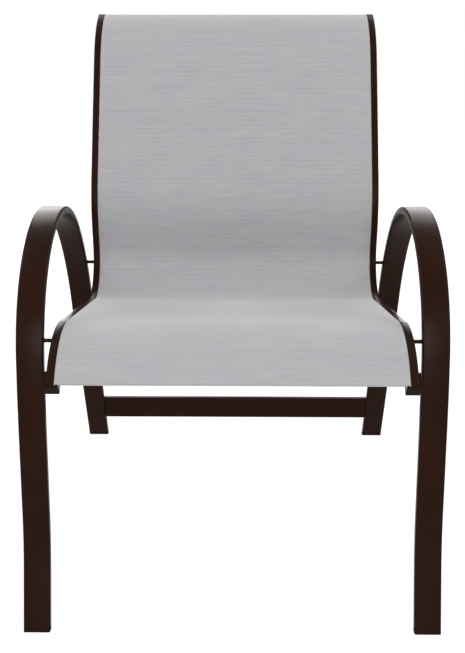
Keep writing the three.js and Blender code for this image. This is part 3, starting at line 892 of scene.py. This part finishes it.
def lay_cloth(name, columns, rows, row_place):
    """A grid of cloth with its cut size as its map. row_place says how far along and how high a row lies"""
    bpy.ops.object.select_all(action="DESELECT")
    bpy.ops.mesh.primitive_grid_add(
        x_subdivisions=len(columns) - 1, y_subdivisions=len(rows) - 1, size=1, calc_uvs=True
    )
    piece = bpy.context.object
    piece.name = name
    piece.data.name = name
    stations = []
    for row in rows:
        along, lift = row_place(row)
        stations.append((*on_sling(along), sag_at(along), lift))
    cut_places = {}
    for vertex in piece.data.vertices:
        column = columns[round((vertex.co.x + 0.5) * (len(columns) - 1))]
        row = round((vertex.co.y + 0.5) * (len(rows) - 1))
        cut_places[vertex.index] = (column, rows[row])
        place, ahead, side, sag, lift = stations[row]
        x, height = across_sling(column, sag)
        vertex.co = Vector((x, place.y, place.z)) + (height + lift) * side
    cut_map = piece.data.uv_layers.active
    for loop in piece.data.loops:
        cut_map.data[loop.index].uv = cut_places[loop.vertex_index]
    bpy.ops.object.shade_smooth()
    wall = piece.modifiers.new("cloth", "SOLIDIFY")
    wall.thickness = SLING_THICKNESS
    wall.offset = 0
    bpy.ops.object.modifier_apply(modifier=wall.name)
    return piece


columns = [0.0] + steps(0, flat_half, FLAT_COLUMNS)
columns += steps(flat_half, turn_length, TURN_COLUMNS)
columns += steps(flat_half + turn_length, drop_length, DROP_COLUMNS)
columns += steps(flat_half + turn_length + drop_length, pocket_length, POCKET_COLUMNS)
columns = [-across for across in reversed(columns[1:])] + columns
rows = [0.0] + steps(0, sling_length, math.ceil(sling_length / ROW_PITCH))
sling = lay_cloth("woven_sling", columns, rows, lambda row: (row, 0))

# Both ends of the sling are folded under and sewn down with two rows of lock stitches, between the rails. A
# stitch's points have their place as a share of its length, their height in thread radii, and the ratio by
# which the thread thickens or thins there.
HEM_GAP = 0.0002
HEM_MARGIN = 0.0007
FOLD_ROWS = 8
HEM_ROWS = 5
SEAM_INSETS = (0.004, 0.010)
THREAD_RADIUS = 0.00025
THREAD_SIDES = 6
THREAD_SMOOTH_ANGLE = math.radians(60)
STITCH_LENGTH = 0.0033
STITCH_PITCH = 0.004
STITCH_POINTS = ((-0.3, 0, 2), (0.3, 0, 1), (0.5, -1, 0.5))

hem_half = rail_outer_x - RAIL_WIDTH - HEM_MARGIN
hem_columns = [-hem_half] + steps(-hem_half, 2 * hem_half, 2 * FLAT_COLUMNS)
fold_radius = (SLING_THICKNESS + HEM_GAP) / 2
fold_length = math.pi * fold_radius
hem_rows = [0.0] + steps(0, fold_length, FOLD_ROWS) + steps(fold_length, HEM_LENGTH, HEM_ROWS)


def folded(run, end, way):
    """Where a row of the hem lies, a distance past the sling's end: round the fold, then back underneath"""
    if run < fold_length:
        angle = run / fold_radius
        return end + way * fold_radius * math.sin(angle), -fold_radius * (1 - math.cos(angle))
    return end - way * (run - fold_length), -2 * fold_radius


stitch_start = Vector((-STITCH_LENGTH / 2, 0, -THREAD_RADIUS))
stitch = disc("stitch", THREAD_SIDES, THREAD_RADIUS / 2, stitch_start)
for share, height, ratio in STITCH_POINTS:
    place = Vector((share * STITCH_LENGTH, 0, height * THREAD_RADIUS))
    draw_out(place - stitch_start)
    bpy.ops.transform.resize(value=(1, ratio, ratio), center_override=place)
    stitch_start = place
close_up(stitch, THREAD_SMOOTH_ANGLE)
stitches = int(2 * hem_half / STITCH_PITCH)
seam = stitch.modifiers.new("seam", "ARRAY")
seam.count = stitches
seam.use_relative_offset = False
seam.use_constant_offset = True
seam.constant_offset_displace = (STITCH_PITCH, 0, 0)
bpy.ops.object.modifier_apply(modifier=seam.name)
stitch.data.transform(Matrix.Translation((-(stitches - 1) * STITCH_PITCH / 2, 0, 0)))

hems = []
threads = []
for end_name, end, way in (("front", 0, -1), ("top", sling_length, 1)):
    hems.append(lay_cloth(
        f"sewn_hem_{end_name}", hem_columns, hem_rows, lambda run, end=end, way=way: folded(run, end, way)
    ))
    for face_name, facing, lift in (
        ("upper", 1, SLING_THICKNESS / 2), ("under", -1, -SLING_THICKNESS / 2 - 2 * fold_radius)
    ):
        bpy.ops.object.select_all(action="DESELECT")
        for inset in SEAM_INSETS:
            place, ahead, side = on_sling(end - way * inset)
            turn = Matrix((ACROSS_X, facing * ahead, facing * side)).transposed().to_4x4()
            turn.translation = Vector((0, place.y, place.z)) + (sling_lift + lift) * side
            thread_row = stitch.copy()
            thread_row.data = stitch.data.copy()
            thread_row.data.transform(turn)
            bpy.context.collection.objects.link(thread_row)
            thread_row.select_set(True)
        bpy.context.view_layer.objects.active = thread_row
        bpy.ops.object.join()
        thread_row.name = f"hem_stitches_{end_name}_{face_name}"
        thread_row.data.name = thread_row.name
        threads.append(thread_row)
bpy.data.objects.remove(stitch)

# The weft yarns are heathered: each keeps its own shade and drifts a little lighter and darker along its
# length, and every few yarns the weave beats up tighter, which gives fine straight streaks across the sling.
SLING_LIGHT = "acacae"
SLING_DARK = "929294"
YARN_WARM = "fffffb"
YARN_VIOLET = "fdfbff"
TINT_MM = (80, 24)
TINT_RANGE = (0.35, 0.65)
YARN_PITCH_MM = 2.1
YARN_APART = 1.7
DRIFT_MM = 60
RIB_PITCH_MM = 8.4
THREAD_PITCH_MM = 1.6
THREAD_HEIGHT = 0.0003
YARN_SHARE = 0.12
DRIFT_SHARE = 1.0
RIB_SHARE = 0.065

weave, tree, output = material("woven PVC-coated polyester")
cloth = node(tree, "ShaderNodeTexCoord").outputs["UV"]
split = node(tree, "ShaderNodeSeparateXYZ", {"Vector": cloth})
across_cloth = split.outputs["X"]
along_cloth = split.outputs["Y"]


def calc(operation, first, second=0.0):
    """The result of one sum on values or outputs in the weave's tree"""
    return node(tree, "ShaderNodeMath", {0: first, 1: second}, operation=operation).outputs[0]


yarn_number = calc("FLOOR", calc("MULTIPLY", along_cloth, per_metre(YARN_PITCH_MM)))
along_yarn = calc("MULTIPLY", across_cloth, per_metre(DRIFT_MM))
yarn_place = node(tree, "ShaderNodeCombineXYZ", {
    "X": along_yarn, "Y": calc("MULTIPLY", yarn_number, YARN_APART),
})
drift = node(tree, "ShaderNodeTexNoise", {
    "Vector": yarn_place.outputs[0], "Scale": 1, "Detail": 5, "Roughness": 0.7,
}, noise_dimensions="2D").outputs["Fac"]
own_shade = node(tree, "ShaderNodeTexWhiteNoise", {
    "W": yarn_number,
}, noise_dimensions="1D").outputs["Value"]
rib = calc("SINE", calc("MULTIPLY", along_cloth, 2 * math.pi * per_metre(RIB_PITCH_MM)))
shade = calc("ADD", calc("MULTIPLY", drift, DRIFT_SHARE), calc("MULTIPLY", own_shade, YARN_SHARE))
shade = calc("ADD", shade, calc("MULTIPLY", rib, RIB_SHARE))
shade = calc("DIVIDE", shade, DRIFT_SHARE + YARN_SHARE)
yarn = node(tree, "ShaderNodeMix", {
    "Factor": shade, "A": linear(SLING_DARK), "B": linear(SLING_LIGHT),
}, data_type="RGBA")

tint_place = node(tree, "ShaderNodeCombineXYZ", {
    "X": calc("MULTIPLY", across_cloth, per_metre(TINT_MM[0])),
    "Y": calc("MULTIPLY", along_cloth, per_metre(TINT_MM[1])),
})
cloudy = node(tree, "ShaderNodeTexNoise", {
    "Vector": tint_place.outputs[0], "Scale": 1, "Detail": 1,
}, noise_dimensions="2D")
cloudy = node(tree, "ShaderNodeMapRange", {
    "Value": cloudy.outputs["Fac"], "From Min": TINT_RANGE[0], "From Max": TINT_RANGE[1],
})
tint = node(tree, "ShaderNodeMix", {
    "Factor": cloudy.outputs[0], "A": linear(YARN_WARM), "B": linear(YARN_VIOLET),
}, data_type="RGBA")
tinted = node(tree, "ShaderNodeMix", {
    "Factor": 1, "A": yarn.outputs["Result"], "B": tint.outputs["Result"],
}, data_type="RGBA", blend_type="MULTIPLY")


def thread(value):
    """Height of the threads along one direction of the weave, from a wave as long as two threads"""
    return calc("SINE", calc("MULTIPLY", value, math.pi * per_metre(THREAD_PITCH_MM)))


crossing = calc("MULTIPLY", thread(across_cloth), thread(along_cloth))
bump = node(tree, "ShaderNodeBump", {
    "Height": calc("ADD", crossing, shade), "Strength": 0.2, "Distance": THREAD_HEIGHT,
})
mesh_cloth = node(tree, "ShaderNodeBsdfPrincipled", {
    "Base Color": tinted.outputs["Result"], "Roughness": 0.6, "Normal": bump.outputs[0],
    "Specular IOR Level": 0.2, "Sheen Weight": 0.52, "Sheen Roughness": 0.56,
})
tree.links.new(mesh_cloth.outputs[0], output.inputs["Surface"])
declare(sling, "sling", weave)
for hem in hems:
    add_trim(hem, weave)

# Bonded polyester thread, a shade lighter than the cloth, with painted highlights and shade in its colour
# where light would catch its twist.
THREAD_LIGHT = "b6b5b8"
THREAD_DARK = "8f8e91"
TWIST_GLINT_MM = 0.7

bonded, tree, output = material("bonded polyester thread")
# Painted highlight: fine flecks turn the thread's colour lighter and darker, standing in for light on its
# twist.
painted_twist_glints = node(tree, "ShaderNodeTexNoise", {
    "Vector": node(tree, "ShaderNodeTexCoord").outputs["Object"], "Scale": per_metre(TWIST_GLINT_MM),
})
strand = node(tree, "ShaderNodeMix", {
    "Factor": painted_twist_glints.outputs["Fac"], "A": linear(THREAD_DARK), "B": linear(THREAD_LIGHT),
}, data_type="RGBA")
fibre = node(tree, "ShaderNodeBsdfPrincipled", {"Base Color": strand.outputs["Result"], "Roughness": 0.5})
tree.links.new(fibre.outputs[0], output.inputs["Surface"])
for seams in threads:
    add_trim(seams, bonded)
